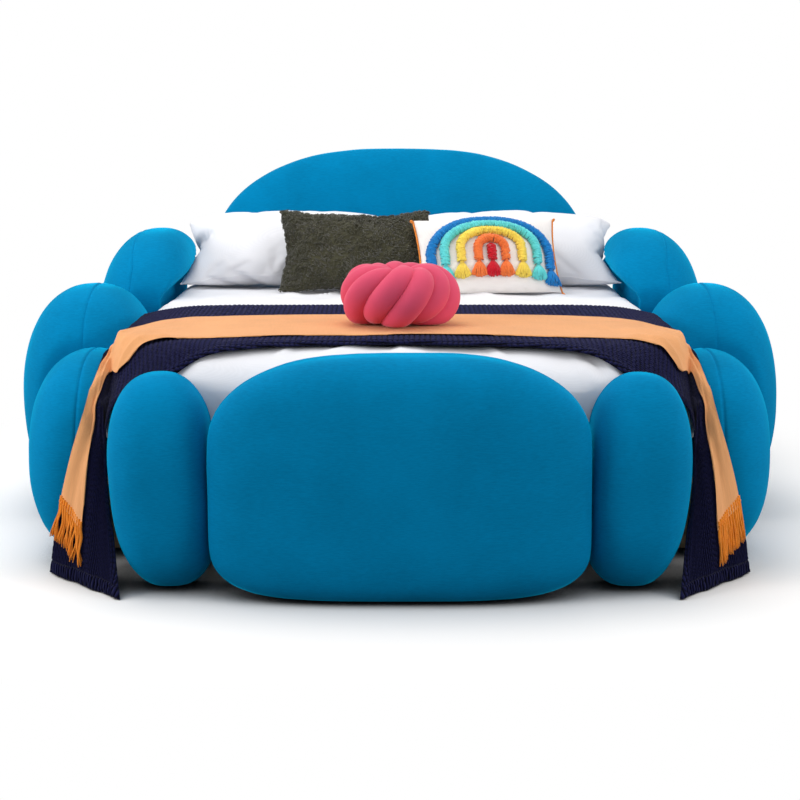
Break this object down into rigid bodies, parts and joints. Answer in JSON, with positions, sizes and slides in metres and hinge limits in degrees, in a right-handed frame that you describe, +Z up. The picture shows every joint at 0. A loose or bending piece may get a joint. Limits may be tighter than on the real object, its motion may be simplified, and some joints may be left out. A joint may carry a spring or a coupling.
{
  "type": "upholstered double bed",
  "caption": "Upholstered double bed ringed by rounded foam pods with an arched headboard, made up with mattress, duvet, pillows, cushions, knitted blanket and fringed throw.",
  "frame": {"origin": "on the floor, below the middle of the whole bed's bounding box", "axes": "+Z up, +Y from the foot end towards the headboard, +X to the right as seen from the foot end"},
  "size_m": [2.2358, 2.4993, 1.034],
  "materials": {
    "pod_velvet": "matt stretch velvet",
    "plywood": "raw birch plywood",
    "pine": "planed pine",
    "birch": "planed laminated birch",
    "black_plastic": "moulded",
    "steel": "zinc plated",
    "ticking": "knitted ticking",
    "white_cotton": "woven cotton",
    "olive_fur": "long pile",
    "canvas": "cotton canvas",
    "tufting_yarn": "cut pile tufting in five colours",
    "tassel_yarn": "loose yarn in five colours",
    "orange_braid": "plaited braid",
    "pink_plush": "short plush",
    "navy_knit": "chunky knit",
    "orange_linen": "slub linen weave",
    "orange_yarn": "knotted yarn"
  },
  "bodies": {
    "root": {"foot_centre_pad": "pod_velvet", "foot_left_pad": "pod_velvet", "foot_right_pad": "pod_velvet", "left_front_pad": "pod_velvet", "left_middle_pad": "pod_velvet", "left_rear_pad": "pod_velvet", "right_front_pad": "pod_velvet", "right_middle_pad": "pod_velvet", "right_rear_pad": "pod_velvet", "headboard_pad": "pod_velvet", "foot_centre_core": "plywood", "foot_left_core": "plywood", "foot_right_core": "plywood", "left_front_core": "plywood", "left_middle_core": "plywood", "left_rear_core": "plywood", "right_front_core": "plywood", "right_middle_core": "plywood", "right_rear_core": "plywood", "headboard_core": "plywood", "left_side_rail": "pine", "right_side_rail": "pine", "head_rail": "pine", "foot_rail": "pine", "centre_rail": "pine", "left_slat_ledge": "pine", "right_slat_ledge": "pine", "left_slats": "birch", "right_slats": "birch", "left_slat_holders": "black_plastic", "centre_slat_holders": "black_plastic", "right_slat_holders": "black_plastic", "centre_legs": "pine", "centre_leg_feet": "black_plastic", "corner_brackets": "steel", "corner_bolts": "steel", "centre_rail_hangers": "steel", "pod_bolts": "steel", "tee_nuts": "steel", "floor_glides": "black_plastic", "mattress": "ticking", "duvet": "white_cotton", "left_pillow": "white_cotton", "right_pillow": "white_cotton", "knitted_blanket": "navy_knit", "woven_throw": "orange_linen", "left_fringe": "orange_yarn", "right_fringe": "orange_yarn"},
    "fur": {"fur_cushion": "olive_fur"},
    "rainbow": {"rainbow_cushion": "canvas", "rainbow_arches": "tufting_yarn", "rainbow_tassels": "tassel_yarn", "rainbow_piping": "orange_braid"},
    "knot": {"knot_cushion": "pink_plush"}
  },
  "joints": [
    {"name": "fur_cushion_lift", "type": "slide", "parent": "root", "child": "fur", "axis": [0, 0, 1], "range_m": [0, 0.5]},
    {"name": "rainbow_cushion_lift", "type": "slide", "parent": "fur", "child": "rainbow", "axis": [0, 0, 1], "range_m": [0, 0.5]},
    {"name": "knot_cushion_lift", "type": "slide", "parent": "root", "child": "knot", "axis": [0, 0, 1], "range_m": [0, 0.5]}
  ]
}
